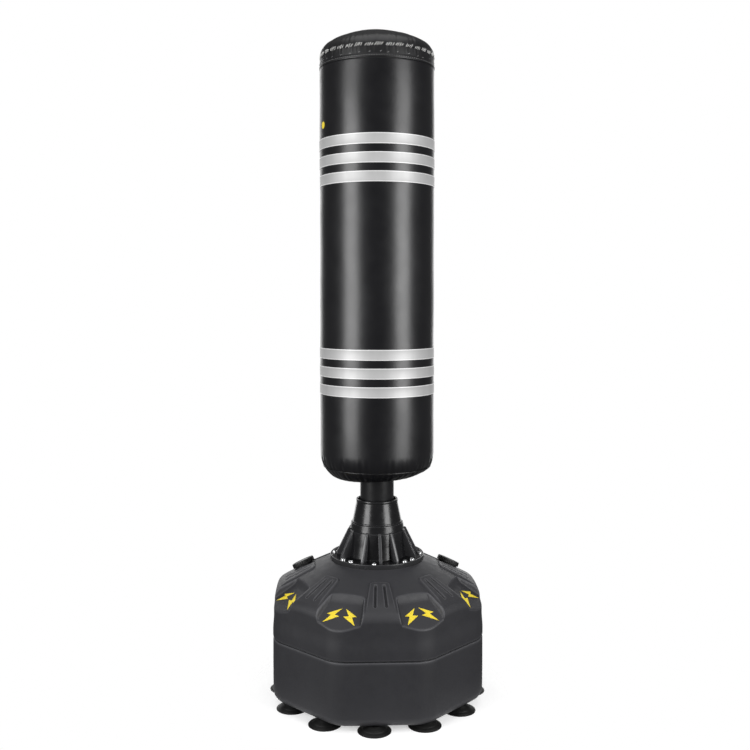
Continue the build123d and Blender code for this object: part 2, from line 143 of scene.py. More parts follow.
def rounded(corners, steps=4):
    """An outline through (r, z, radius) corners, each rounded with a curve of that radius."""
    points = []
    count = len(corners)
    for n, (r, z, radius) in enumerate(corners):
        here = np.array([r, z], float)
        before = np.array(corners[n - 1][:2], float) - here
        after = np.array(corners[(n + 1) % count][:2], float) - here
        if radius <= 0:
            points.append(here)
            continue
        reach = (np.linalg.norm(before), np.linalg.norm(after))
        before, after = before / reach[0], after / reach[1]
        half = np.arccos(np.clip(before @ after, -1, 1)) / 2
        back = min(radius / max(tan(half), 1e-3), 0.49 * reach[0], 0.49 * reach[1])
        for t in np.linspace(0, 1, steps + 1):
            points.append(here + before * back * (1 - t) ** 2 + after * back * t**2)
    return np.array(points)


def turned_shape(name, outline, material, columns=144, ripple=None, angle=35.0):
    """A closed solid of revolution from its (r, z) outline. ripple moves its points about."""
    phi = np.linspace(0, 2 * pi, columns, endpoint=False)
    r = outline[:, 0][:, None] * np.ones(columns)
    z = outline[:, 1][:, None] * np.ones(columns)
    phi = np.ones(len(outline))[:, None] * phi
    if ripple:
        r, z = ripple(r, z, phi)
    points = np.stack([r * np.sin(phi), -r * np.cos(phi), z], axis=-1).reshape(-1, 3)
    mesh = mesh_from(name, points, grid_faces(len(outline), columns, wrap_rows=True))
    tidy_mesh(mesh)
    return finish_mesh(name, mesh, material, angle)


def joined(name, pieces, material):
    """One mesh from several (points, faces) pairs, in millimetres."""
    points, faces = [], []
    for some_points, some_faces in pieces:
        start = len(points)
        points.extend(some_points)
        faces.extend([[start + corner for corner in face] for face in some_faces])
    mesh = mesh_from(name, points, faces)
    tidy_mesh(mesh)
    return finish_mesh(name, mesh, material)


def placed(points, phi=0.0, r=0.0, z=0.0, tilt=0.0):
    """Points made along +X, tilted outwards, moved out to r and up to z, then turned to phi."""
    p = np.array(points, float)
    c, s = cos(radians(tilt)), sin(radians(tilt))
    p = np.stack([p[:, 0] * c + p[:, 2] * s, p[:, 1], p[:, 2] * c - p[:, 0] * s], axis=1)
    p += (r, 0, z)
    a = radians(phi - 90)
    x = p[:, 0] * cos(a) - p[:, 1] * sin(a)
    y = p[:, 0] * sin(a) + p[:, 1] * cos(a)
    return np.stack([x, y, p[:, 2]], axis=1)


def revolved_points(outline, columns):
    """(points, faces) of a small solid of revolution about Z."""
    phi = np.linspace(0, 2 * pi, columns, endpoint=False)
    points = [(r * cos(a), r * sin(a), z) for r, z in outline for a in phi]
    return points, grid_faces(len(outline), columns, wrap_rows=True)


def bevel(piece, width, segments=3, angle=30.0):
    tool = piece.modifiers.new("bevel", "BEVEL")
    tool.width = width * MM
    tool.segments = segments
    tool.limit_method = "ANGLE"
    tool.angle_limit = radians(angle)
    return piece


def settle(piece):
    """Applies a piece's modifiers to its mesh."""
    graph = bpy.context.evaluated_depsgraph_get()
    mesh = bpy.data.meshes.new_from_object(piece.evaluated_get(graph))
    piece.modifiers.clear()
    old = piece.data
    piece.data = mesh
    bpy.data.meshes.remove(old)
    return piece


def put(piece, body, slot, *nodes):
    """Sets a finished piece on its body and hides the nodes that it stands for. slot, the name of its
    finish, is not used.
    """
    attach(piece, body)
    if nodes:
        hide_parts(*nodes)
    return piece


def waves(a, b, count, low, high):
    """A smooth random surface between about -1 and 1 over two coordinates."""
    total = np.zeros(np.broadcast(a, b).shape)
    for _ in range(count):
        around = CHANCE.integers(1, high)
        along = CHANCE.uniform(low, high)
        start = CHANCE.uniform(0, 2 * pi)
        total = total + np.sin(around * a + along * b + start)
    return total / sqrt(count)


# ---- materials ----


def add(tree, kind, **values):
    node = tree.nodes.new(kind)
    for key, value in values.items():
        if key in node.inputs:
            node.inputs[key].default_value = value
        else:
            setattr(node, key, value)
    return node


def start_material(name, **values):
    """A new material with its Principled shader, and the values set on its own sockets."""
    material = bpy.data.materials.new(name)
    material.use_nodes = True
    shader = material.node_tree.nodes["Principled BSDF"]
    for key, value in values.items():
        shader.inputs[key.replace("_", " ")].default_value = value
    return material, material.node_tree, shader


def wire(tree, shader, colour, gloss=None, surface=None):
    """Links a colour, a roughness and a normal to the shader, where there is one."""
    for socket, value in (("Base Color", colour), ("Roughness", gloss), ("Normal", surface)):
        if value is not None:
            tree.links.new(value, shader.inputs[socket])


def place_texture(tree, stretch=(1, 1, 1)):
    where = add(tree, "ShaderNodeTexCoord")
    mapping = add(tree, "ShaderNodeMapping")
    mapping.inputs["Scale"].default_value = stretch
    tree.links.new(where.outputs["Object"], mapping.inputs["Vector"])
    return mapping.outputs["Vector"]


def noise(tree, vector, scale, detail=4.0, rough=0.55):
    node = add(tree, "ShaderNodeTexNoise", Scale=scale, Detail=detail, Roughness=rough)
    tree.links.new(vector, node.inputs["Vector"])
    return node.outputs["Fac"]


def cells(tree, vector, scale):
    node = add(tree, "ShaderNodeTexVoronoi", Scale=scale, feature="SMOOTH_F1")
    tree.links.new(vector, node.inputs["Vector"])
    return node.outputs["Distance"]


def ramp(tree, value, stops):
    """A colour ramp with (position, grey or colour) stops."""
    node = add(tree, "ShaderNodeValToRGB")
    elements = node.color_ramp.elements
    while len(elements) < len(stops):
        elements.new(0.5)
    for element, (position, colour) in zip(elements, stops):
        element.position = position
        rgb = (colour,) * 3 if isinstance(colour, float) else colour
        element.color = (*rgb, 1)
    tree.links.new(value, node.inputs["Fac"])
    return node.outputs["Color"]


def mixed(tree, factor, first, second, blend="MIX"):
    node = add(tree, "ShaderNodeMix", data_type="RGBA", blend_type=blend)
    for number, value in ((0, factor), (6, first), (7, second)):
        socket = node.inputs[number]
        if isinstance(value, bpy.types.NodeSocket):
            tree.links.new(value, socket)
        else:
            socket.default_value = value if isinstance(value, float) else (*value, 1)
    return node.outputs[2]


def bump(tree, height, strength, distance, below=None):
    node = add(tree, "ShaderNodeBump", Strength=strength, Distance=distance * MM)
    tree.links.new(height, node.inputs["Height"])
    if below:
        tree.links.new(below, node.inputs["Normal"])
    return node.outputs["Normal"]


def edge_highlights_and_hollow_shade(tree, colour, highlight_colour, amount=0.5):
    """colour with a painted highlight that lightens its sharp outward edges, and painted shade that makes
    its hollows a little darker.
    """
    shape = add(tree, "ShaderNodeNewGeometry")
    # Painted highlight: the sharpest outward edges, found by pointiness, are blended towards the highlight
    # colour.
    edges = ramp(tree, shape.outputs["Pointiness"], [(0.506, 0.0), (0.54, amount)])
    # Painted shade: the hollows are darkened.
    hollow_shade = ramp(tree, shape.outputs["Pointiness"], [(0.44, 0.55), (0.49, 1.0)])
    dark = mixed(tree, 1.0, colour, hollow_shade, "MULTIPLY")
    return mixed(tree, edges, dark, highlight_colour)


def plastic(name, dark, light, rough, grain, depth, edge=None, coat=0.0):
    """Moulded plastic: two tones in soft clouds, a fine moulded grain and uneven gloss. Given edge, it
    paints a highlight of that colour on sharp edges and painted shade in hollows.
    """
    material, tree, shader = start_material(name, IOR=1.5, Coat_Weight=coat, Coat_Roughness=0.2)
    where = place_texture(tree)
    colour = ramp(tree, noise(tree, where, 9.0), [(0.3, dark), (0.7, light)])
    # edge is the colour of the painted highlight on sharp edges; the same step paints shade into hollows.
    if edge:
        colour = edge_highlights_and_hollow_shade(tree, colour, edge)
    gloss = ramp(tree, noise(tree, where, 60.0), [(0.3, rough[0]), (0.7, rough[1])])
    fine = bump(tree, noise(tree, where, grain, 2.0), depth, 0.15)
    surface = bump(tree, cells(tree, where, grain * 0.6), depth * 0.6, 0.2, fine)
    wire(tree, shader, colour, gloss, surface)
    return material


def leather(name, dark, light, rough, grain=520.0, depth=0.35):
    """Coated leather: fine pebbles with creases between them, and patches of polish."""
    material, tree, shader = start_material(name, IOR=1.5, Coat_Weight=0.15, Coat_Roughness=0.25)
    where = place_texture(tree)
    colour = ramp(tree, noise(tree, where, 14.0), [(0.3, dark), (0.75, light)])
    pebbles = cells(tree, where, grain)
    creases = noise(tree, where, grain * 0.35, 5.0, 0.6)
    drift = noise(tree, where, 26.0, 3.0)
    gloss = ramp(tree, drift, [(0.3, rough[0]), (0.7, rough[1])])
    surface = bump(tree, drift, 0.18, 1.2)
    surface = bump(tree, creases, depth, 0.25, surface)
    surface = bump(tree, pebbles, depth, 0.2, surface)
    wire(tree, shader, colour, gloss, surface)
    return material


def metal(name, colour, rough, brushed=(1, 1, 1)):
    """Bare or plated metal with fine streaks in its tone and its gloss."""
    material, tree, shader = start_material(name, Metallic=1.0)
    where = place_texture(tree, brushed)
    streaks = noise(tree, where, 300.0, 3.0)
    tone = ramp(tree, streaks, [(0.3, tuple(0.82 * c for c in colour)), (0.7, colour)])
    gloss = ramp(tree, streaks, [(0.3, rough[0]), (0.7, rough[1])])
    wire(tree, shader, tone, gloss, bump(tree, streaks, 0.12, 0.05))
    return material


def rubber(name, dark, light, rough=0.62):
    material, tree, shader = start_material(name, IOR=1.45)
    where = place_texture(tree)
    dust = noise(tree, where, 45.0, 5.0)
    tone = ramp(tree, dust, [(0.35, dark), (0.8, light)])
    gloss = ramp(tree, dust, [(0.3, rough), (0.7, rough + 0.15)])
    wire(tree, shader, tone, gloss, bump(tree, noise(tree, where, 700.0), 0.25, 0.1))
    return material


def stripe_vinyl():
    """Satin silver vinyl with paler bands along its top and bottom edges."""
    material, tree, shader = start_material("stripe_vinyl", IOR=1.5, Metallic=0.4)
    where = add(tree, "ShaderNodeTexCoord")
    split = add(tree, "ShaderNodeSeparateXYZ")
    tree.links.new(where.outputs["Generated"], split.inputs["Vector"])
    pale, silver = 0.85, 0.53
    stops = [(0.0, pale), (0.055, pale), (0.09, silver), (0.91, silver), (0.945, pale), (1.0, pale)]
    band = ramp(tree, split.outputs["Z"], stops)
    spot = place_texture(tree, (1, 1, 0.2))
    cloud = ramp(tree, noise(tree, spot, 40.0), [(0.3, 0.93), (0.7, 1.0)])
    tone = mixed(tree, 1.0, band, cloud, "MULTIPLY")
    gloss = ramp(tree, noise(tree, spot, 90.0), [(0.3, 0.51), (0.7, 0.57)])
    surface = bump(tree, noise(tree, place_texture(tree), 600.0, 2.0), 0.12, 0.1)
    wire(tree, shader, tone, gloss, surface)
    return material


def printed(name, dark, light):
    """Printed or painted marking, with faint mottling and a fine grain."""
    material, tree, shader = start_material(name, IOR=1.45)
    where = place_texture(tree)
    tone = ramp(tree, noise(tree, where, 120.0), [(0.3, dark), (0.7, light)])
    gloss = ramp(tree, noise(tree, where, 200.0), [(0.3, 0.42), (0.7, 0.55)])
    wire(tree, shader, tone, gloss, bump(tree, noise(tree, where, 900.0), 0.15, 0.05))
    return material


def foam(name, dark, light):
    material, tree, shader = start_material(name, Roughness=0.95, IOR=1.3)
    where = place_texture(tree)
    pores = cells(tree, where, 260.0)
    # Painted shade: the pores are darker where the bump sinks them.
    tone = ramp(tree, pores, [(0.1, dark), (0.5, light)])
    wire(tree, shader, tone, surface=bump(tree, pores, 0.8, 0.8))
    return material


def water():
    material, tree, shader = start_material("water", IOR=1.33, Roughness=0.05)
    where = place_texture(tree)
    stops = [(0.3, (0.05, 0.12, 0.14)), (0.7, (0.09, 0.18, 0.2))]
    tone = ramp(tree, noise(tree, where, 6.0), stops)
    wire(tree, shader, tone, surface=bump(tree, noise(tree, where, 12.0), 0.1, 1.0))
    return material


def make_materials():
    return {
        "tank": plastic(
            "tank_plastic", (0.022, 0.022, 0.0255), (0.027, 0.027, 0.031), (0.50, 0.60), 420.0, 0.12,
            # edge: the grey of the painted highlight on the tank's sharp edges, such as the pockets' rims.
            edge=(0.12, 0.12, 0.13),
        ),
        "neck": plastic(
            "neck_plastic", (0.006, 0.006, 0.007), (0.009, 0.009, 0.010), (0.20, 0.29), 380.0, 0.08,
            # edge: the grey of the painted highlight on the sharp edges of the flange, fins and cone.
            edge=(0.10, 0.10, 0.105),
        ),
        "cap": plastic("cap_plastic", (0.006,) * 3, (0.010,) * 3, (0.38, 0.5), 500.0, 0.15),
        "post": plastic(
            "post_paint", (0.007, 0.007, 0.008), (0.010, 0.010, 0.011), (0.30, 0.38), 900.0, 0.10
        ),
        "sleeve": plastic(
            "sleeve_plastic", (0.02, 0.02, 0.022), (0.03, 0.03, 0.032), (0.4, 0.5), 400.0, 0.10
        ),
        "nylon": plastic(
            "socket_nylon", (0.55, 0.54, 0.50), (0.66, 0.65, 0.60), (0.4, 0.5), 400.0, 0.10
        ),
        "bush": rubber("bush_elastomer", (0.10, 0.04, 0.01), (0.16, 0.07, 0.02)),
        "bumper": rubber("bumper_rubber", (0.010,) * 3, (0.022,) * 3),
        "rubber": rubber("black_rubber", (0.003,) * 3, (0.008,) * 3, 0.5),
        "zinc": metal("zinc_steel", (0.86, 0.87, 0.88), (0.22, 0.32)),
        "brass": metal("brass_insert", (0.78, 0.58, 0.26), (0.25, 0.35)),
        "steel": metal("bare_steel", (0.56, 0.57, 0.58), (0.3, 0.42), (1, 1, 0.1)),
        "spring": metal("spring_steel", (0.30, 0.31, 0.33), (0.3, 0.4)),
        "leather": leather(
            "bag_leather", (0.0030, 0.0030, 0.0042), (0.0045, 0.0045, 0.0058), (0.31, 0.37)
        ),
        "crown": leather(
            "crown_leather", (0.0030, 0.0030, 0.0038), (0.0050, 0.0050, 0.0058), (0.40, 0.48), 480.0, 0.4
        ),
        "thread": printed("lacing_thread", (0.70, 0.70, 0.68), (0.88, 0.88, 0.86)),
        "tick": printed("tick_thread", (0.20,) * 3, (0.34,) * 3),
        "stripe": stripe_vinyl(),
        "yellow": printed("mark_yellow", (0.80, 0.60, 0.025), (0.90, 0.72, 0.05)),
        "firm_foam": foam("firm_foam", (0.30, 0.30, 0.32), (0.55, 0.55, 0.57)),
        "soft_foam": foam("soft_foam", (0.55, 0.50, 0.36), (0.82, 0.76, 0.58)),
        "water": water(),
    }


# ---- tank ----

# Directions of the caps and the sunk corners are degrees from the front. "half" is half a
# width at both ends of the "u" range, which runs out from the axis.
CONE = {"land_z": 357.0, "land_r": 125.0, "slope": 0.49}
UPPER_INSET = 2.4
SHOULDER_R, POCKET_EDGE_R = 28.0, 6.0
RIDGE = {"u": (165.0, 252.0), "half": (24.0, 38.0), "height": 4.0}
GROOVE = {"u": (178.0, 240.0), "offset": (10.5, 14.0), "half": 4.2, "depth": 4.6}
POCKET_PHI = (-157.5, -67.5, -22.5, 22.5, 67.5, 157.5)
POCKET = {
    "floor": ((215.0, 300.0), (283.0, 253.0)), "back_slope": 2.0, "u": (206.0, 310.0), "half": (44.0, 70.0)
}
CAP_PHI = {"left": -112.5, "right": 112.5}
CAP_CENTRE_R = 212.0
NECK = {"bore": 23.0, "outer": 27.0, "height": 9.0, "depth": 16.0}
TILT = degrees(atan(CONE["slope"]))
SEAM_Z = 177.0
EIGHTH = pi / 4
TANK_COLUMNS = 1080
# The well under the neck, (r, z) from its middle out to the land that the flange sits on.
WELL = (
    (0.0, 326.0), (38.0, 326.0), (40.0, 328.0), (40.0, 355.0),
    (42.0, CONE["land_z"]), (110.0, CONE["land_z"]),
)
TOP_START_R = 118.0
SHOULDER_REACH = 44.0
# An inset for points so far in from the wall that no rounded edge reaches them.
FAR_IN = 100.0


def smooth_min(a, b, width):
    """The lower of a and b, blended over width where they cross."""
    share = np.clip(0.5 + 0.5 * (b - a) / width, 0, 1)
    return b + (a - b) * share - width * share * (1 - share)


def smooth_max(a, b, width):
    return -smooth_min(-a, -b, width)


def smooth_step(low, high, value):
    t = np.clip((value - low) / (high - low), 0, 1)
    return t * t * (3 - 2 * t)


def between(pair, share):
    return pair[0] + (pair[1] - pair[0]) * share


def octagon(angle):
    """Points of the tank's rounded octagon and its outward normals, at angles from +X."""
    corner = (np.floor(angle / EIGHTH) + 0.5) * EIGHTH
    off = angle - corner
    centre = (TANK_APOTHEM - TANK_CORNER_R) / cos(EIGHTH / 2)
    half = EIGHTH / 2
    end = atan2(TANK_CORNER_R * sin(half), centre + TANK_CORNER_R * cos(half))
    on_arc = np.abs(off) < end
    inside = np.clip(TANK_CORNER_R**2 - (centre * np.sin(off)) ** 2, 0, None)
    flat = TANK_APOTHEM / np.cos(half - np.abs(off))
    reach = np.where(on_arc, centre * np.cos(off) + np.sqrt(inside), flat)
    x, y = reach * np.cos(angle), reach * np.sin(angle)
    arc_angle = np.arctan2(y - centre * np.sin(corner), x - centre * np.cos(corner))
    normal = np.where(on_arc, arc_angle, corner + np.sign(off) * half)
    return np.stack([x, y], -1), np.stack([np.cos(normal), np.sin(normal)], -1)


def shoulder_drop(inset, radius):
    """How far a rounded edge lies below the sloping top, this far in from the wall."""
    slope = atan(CONE["slope"])
    centre = radius * (tan(slope) - 1 / cos(slope))
    arc = np.sqrt(np.clip(radius**2 - (radius - inset) ** 2, 0, None))
    drop = inset * tan(slope) - centre - arc
    return np.where(inset < radius * (1 - sin(slope)), drop, 0.0)


def local(x, y, angle):
    """Coordinates along and across the direction angle."""
    return x * np.cos(angle) + y * np.sin(angle), y * np.cos(angle) - x * np.sin(angle)


def ridge_height(x, y):
    """The raised panels on the eight flats, with their two grooves each."""
    angle = np.arctan2(y, x)
    u, v = local(x, y, np.round(angle / EIGHTH) * EIGHTH)
    v = np.abs(v)
    first, last = RIDGE["u"]
    share = (u - first) / (last - first)
    beyond = smooth_max(first - u, v - between(RIDGE["half"], share), 8.0)
    side = 1 - smooth_step(-2.5, 2.0, beyond)
    height = RIDGE["height"] * side * (1 - smooth_step(last - 22, last + 10, u))
    start = np.array([GROOVE["u"][0], GROOVE["offset"][0]])
    along = np.array([GROOVE["u"][1], GROOVE["offset"][1]]) - start
    t = np.clip(((u - start[0]) * along[0] + (v - start[1]) * along[1]) / (along @ along), 0, 1)
    away = np.hypot(u - start[0] - t * along[0], v - start[1] - t * along[1])
    return height - GROOVE["depth"] * (1 - smooth_step(1.2, GROOVE["half"], away))


def pocket_height(x, y):
    """The floor, back and sides of the sunk corners, far above the tank elsewhere."""
    height = np.full(x.shape, 1000.0)
    (u_in, z_in), (u_out, z_out) = POCKET["floor"]
    fall = (z_in - z_out) / (u_out - u_in)
    for phi in POCKET_PHI:
        u, v = local(x, y, radians(phi - 90))
        floor = z_in - (u - u_in) * fall
        back = z_in + (u_in - u) * POCKET["back_slope"]
        base = smooth_max(floor, back, 6.0)
        first, last = POCKET["u"]
        beyond = np.abs(v) - between(POCKET["half"], (u - first) / (last - first))
        rise = smooth_max(np.zeros(x.shape), 4.0 * (beyond + 2.5), 9.0)
        height = np.where(u > 0, np.minimum(height, base + rise), height)
    return height


def tank_top(x, y, inset):
    """Height of the tank's top, inset in from its wall."""
    r = np.hypot(x, y)
    cone = CONE["land_z"] - CONE["slope"] * np.clip(r - CONE["land_r"], 0, None)
    open_top = cone + ridge_height(x, y) - shoulder_drop(inset, SHOULDER_R)
    sunk = pocket_height(x, y) - shoulder_drop(inset, POCKET_EDGE_R)
    return smooth_min(open_top, sunk, 3.5)


def sink_bores(points):
    """Sinks a blind hole under each fill neck."""
    deep = 40.0
    for phi in CAP_PHI.values():
        axis = placed([(0, 0, 1)], phi, tilt=TILT)[0]
        centre = placed([(0, 0, 0)], phi, CAP_CENTRE_R, cone_height(CAP_CENTRE_R))[0]
        gap = points - centre
        along = gap @ axis
        away = np.linalg.norm(gap - along[..., None] * axis, axis=-1)
        near = (np.abs(along) < 30) * (1 - smooth_step(NECK["bore"] + 0.5, NECK["outer"] - 1.0, away))
        points = points - (deep * near)[..., None] * axis
    return points


def cone_height(r):
    """Height of the tank's plain sloping top."""
    return CONE["land_z"] - CONE["slope"] * (r - CONE["land_r"])


def tank_wall_rows():
    """(inset, z) pairs down the tank's side, over its seam and round its bottom edge."""
    upper = [(2.4, 238), (2.3, 232), (1.9, 225), (1.3, 218), (0.7, 211), (0.2, 204), (0.0, 197)]
    rim = [(0.0, 188), (0.0, 184), (0.15, 181.8), (0.6, 180.2), (1.5, 179), (2.8, 178.3), (4.2, 177.9)]
    seam = [(4.6, SEAM_Z), (4.2, 176.1), (2.8, 175.7), (1.5, 175.0), (0.8, 173.8), (0.45, 171.8)]
    lower = [(0.35, 167), (0.25, 150), (0.15, 125), (0.15, 100), (0.25, 75), (0.45, 55)]
    corner, turn = 24.0, np.linspace(0, pi / 2, 12)
    edge = [(0.6 + corner * (1 - cos(a)), TANK_BOTTOM + corner * (1 - sin(a))) for a in turn]
    return upper + rim + seam + lower + edge


def level_row(flat, z):
    """One row of the tank's skin, from its (x, y) points and one height or a height for each."""
    return np.column_stack([flat, np.full(len(flat), z)])


def tank_rows(columns):
    """All rows of the tank's skin, from its well out over the top and down to the bottom."""
    angle = np.linspace(0, 2 * pi, columns, endpoint=False)
    edge, normal = octagon(angle)
    circle = np.stack([np.cos(angle), np.sin(angle)], -1)
    near = [SHOULDER_R * (1 - cos(radians(a))) for a in range(0, 61, 5)]
    insets = near + list(np.arange(near[-1] + 1.3, SHOULDER_REACH, 1.3)) + [SHOULDER_REACH]
    rows = [level_row(circle * radius, z) for radius, z in WELL]
    start = edge - normal * (UPPER_INSET + SHOULDER_REACH)
    far = circle * TOP_START_R
    for share in np.linspace(0, 1, 76)[:-1]:
        flat = far + (start - far) * share
        rows.append(level_row(flat, tank_top(flat[:, 0], flat[:, 1], np.full(columns, FAR_IN))))
    for inset in reversed(insets):
        flat = edge - normal * (UPPER_INSET + inset)
        rows.append(level_row(flat, tank_top(flat[:, 0], flat[:, 1], np.full(columns, inset))))
    brim = rows[-1][:, 2]
    wall = tank_wall_rows()
    for share in np.linspace(0, 1, 9)[1:-1]:
        rows.append(level_row(edge - normal * UPPER_INSET, brim + (wall[0][1] - brim) * share))
    rows += [level_row(edge - normal * inset, z) for inset, z in wall]
    rows += [level_row(circle * radius, TANK_BOTTOM) for radius in (200.0, 100.0, 0.0)]
    return np.array(rows)


def make_tank(looks):
    """The moulded shell, with its fill necks and their caps."""
    rows = sink_bores(tank_rows(TANK_COLUMNS))
    faces = grid_faces(len(rows), TANK_COLUMNS)
    mesh = mesh_from("tank_shell", rows.reshape(-1, 3), faces)
    tidy_mesh(mesh)
    tank = finish_mesh("tank_shell", mesh, looks["tank"], angle=None)
    put(tank, "base", "tank_plastic", "base_tank")
    for side, phi in CAP_PHI.items():
        make_fill_neck(side, phi, looks)
        make_fill_cap(side, phi, looks)


def on_slope(points, phi):
    """Points of a filler piece, stood square on the sloping top at its own direction."""
    return placed(points, phi, CAP_CENTRE_R, cone_height(CAP_CENTRE_R), TILT)


def make_fill_neck(side, phi, looks):
    """The plain tube that a fill cap closes."""
    low, high = -NECK["depth"], NECK["height"]
    bore, outer = NECK["bore"], NECK["outer"]
    shape = [(bore, low, 0), (outer + 0.3, low, 0), (outer + 0.3, -1, 0), (outer, 0, 0)]
    shape += [(outer, high, 0.8), (bore, high, 0.8)]
    points, faces = revolved_points(rounded(shape), 72)
    neck = joined(f"fill_neck_{side}", [(on_slope(points, phi), faces)], looks["tank"])
    put(neck, "base", "tank_plastic")


def make_fill_cap(side, phi, looks):
    """A screw cap with a ribbed skirt and a sunk top with a raised rim."""
    seat = NECK["height"] + 2.05
    skirt, top = seat - 8.0, seat + 4.0
    shape = [(0, seat, 0), (27.4, seat, 0.3), (27.4, skirt, 0.4), (30.6, skirt, 0.8)]
    shape += [(30.4, top, 2.4), (25.0, top, 0.8), (24.2, top - 1.2, 0.6), (0, top - 1.2, 0)]
    outline = rounded(shape)
    columns, ribs = 288, 36
    phis = np.linspace(0, 2 * pi, columns, endpoint=False)
    wave = 0.4 * np.cos(ribs * phis)
    points = []
    for r, z in outline:
        on_skirt = 1.0 if r > 29.5 and z < top - 1.5 else 0.0
        ribbed = r + on_skirt * wave
        points.extend(zip(ribbed * np.cos(phis), ribbed * np.sin(phis), np.full(columns, z)))
    faces = grid_faces(len(outline), columns, wrap_rows=True)
    cap = joined(f"fill_cap_{side}_moulding", [(on_slope(points, phi), faces)], looks["cap"])
    put(cap, f"fill_cap_{side}", "cap_plastic", f"fill_cap_{side}")


def make_cups(looks):
    """The suction cups: a thin lip on the floor, a stepped bell and a stem."""
    shape = [(36.5, 0.1, 0.2), (41.5, 0.1, 0.3), (41.4, 1.5, 0.5), (38.5, 2.2, 1.0), (37.6, 3.2, 0.6)]
    shape += [(30, 6.2, 8), (29.2, 7.3, 0.6), (21, 11.5, 8), (15, 15.6, 1), (6.5, 15.8, 0)]
    shape += [(6.5, 29.3, 0), (0, 29.3, 0), (0, 7, 0), (20, 5, 8)]
    points, faces = revolved_points(rounded(shape), 96)
    for number in range(1, 13):
        node = f"suction_cup_{number:02d}"
        low, high = span(node)
        middle = ((low[0] + high[0]) / 2, (low[1] + high[1]) / 2, 0)
        cup = joined(f"{node}_moulding", [(np.array(points) + middle, faces)], looks["rubber"])
        put(cup, "base", "black_rubber", node)


# One bolt's outline, (across, up) from its own middle, and how far that is from the pocket's.
BOLT = ((-18, 23), (16, 4), (4.5, 1), (19, -22), (-18, 0), (-4.5, 3))
BOLT_OFFSET = 23.0


def make_marks(looks):
    """The printed lightning shapes, two on each pocket floor, leaning together at the top."""
    (u_in, z_in), (u_out, z_out) = POCKET["floor"]
    fall = degrees(atan((z_in - z_out) / (u_out - u_in)))
    middle_u, middle_z = (u_in + u_out) / 2 + 0.5, (z_in + z_out) / 2 - 0.3
    proud, sunk = 0.5, -0.3
    faces = prism_faces(len(BOLT))
    pieces = []
    for phi in POCKET_PHI:
        for side in (-1, 1):
            flat = [(-up, side * (BOLT_OFFSET + across)) for across, up in BOLT]
            points = [(*point, z) for z in (proud, sunk) for point in flat]
            pieces.append((placed(points, phi, middle_u, middle_z, fall), faces))
    marks = joined("pocket_bolts", pieces, looks["yellow"])
    put(marks, "base", "mark_yellow", "pocket_marks")


# ---- neck ----

SCREW_CIRCLE_R = 112.5
SCREW_PHI = [start + 90 * turn for turn in range(4) for start in (37.0, 51.0, 84.0)]
FIN_PHI = [start + 90 * turn for turn in range(4) for start in (3.0, 27.5, 67.0)]
RIM_TOP = 454.0


def fin():
    """One buttress along +X, with sharp edges; make_neck rounds its edges with a bevel."""
    half, inner = 3.9, 69.0
    side = [(inner, DISC_TOP - 2), (108.5, DISC_TOP - 2), (108.0, 374.0), (77.0, 437.0), (inner, 438.0)]
    points = [(u, sign * half, z) for sign in (-1, 1) for u, z in side]
    return points, prism_faces(len(side))


def make_neck(looks):
    """The flange with its hub, the fins round it and the cone above, as (r, z, radius) outlines."""
    shape = [(66, 363.5, 0), (98.5, 363.5, 0), (98.5, 358.6, 0), (FLANGE_R, 358.6, 1.0)]
    shape += [(FLANGE_R, 369.4, 1.4), (119.8, 369.4, 0.8), (119.2, DISC_TOP, 0.8), (82.0, DISC_TOP, 4.0)]
    shape += [(77.0, 400, 60), (73.4, 434, 20), (71.2, 436, 1), (69.3, 451.5, 1), (68.4, RIM_TOP, 1.0)]
    shape += [(65.4, RIM_TOP, 0.6), (65.3, 437, 0), (62.5, 437, 0), (62.5, 431, 0), (69, 420, 0)]
    shape += [(72.5, 400, 0), (76, 372, 0), (66, 372, 0)]
    shell = turned_shape("neck_shell", rounded(shape), looks["neck"], columns=240)
    put(shell, "base", "neck_plastic", "neck_flange")
    points, faces = fin()
    fins = joined("neck_fins", [(placed(points, phi), faces) for phi in FIN_PHI], looks["neck"])
    settle(bevel(fins, 1.3, 4))
    fins.data.shade_smooth()
    fins.data.set_sharp_from_angle(angle=radians(30))
    put(fins, "base", "neck_plastic")
    shape = [(61.6, 437, 0), (65, 437, 0), (65, 453.6, 0.3), (66.4, 455.0, 0.8), (66.0, 457.4, 0.8)]
    shape += [(64.6, 458.4, 0.8), (54.6, 509, 2), (55.4, 511.5, 0.8), (55.2, 514.8, 1.0), (53.2, 516, 0.8)]
    shape += [(51.4, 516, 0.8), (50.3, 514.5, 0.4), (50.3, 509, 1), (61.2, 454, 1)]
    collar = turned_shape("neck_cone", rounded(shape), looks["neck"], columns=200)
    put(collar, "base", "neck_plastic", "neck_collar")


def screw_head():
    """A pan head with a washer face and a cross recess, as (points, faces)."""
    shape = [(0, 0, 0), (7.4, 0, 0.2), (7.4, 1.0, 0.4), (6.5, 1.3, 0.3)]
    shape += [(6.2, 3.4, 2.0), (3.5, 4.9, 2.5), (0, 5.1, 0)]
    points, faces = revolved_points(rounded(shape), 48)
    sunk = []
    for x, y, z in points:
        cross = min(abs(x), abs(y))
        reach = max(abs(x), abs(y))
        depth = 1.8 * (1 - smooth_step(0.5, 1.1, cross)) * (1 - smooth_step(2.6, 4.2, reach))
        sunk.append((x, y, z - (depth if z > 3.2 else 0)))
    return sunk, faces


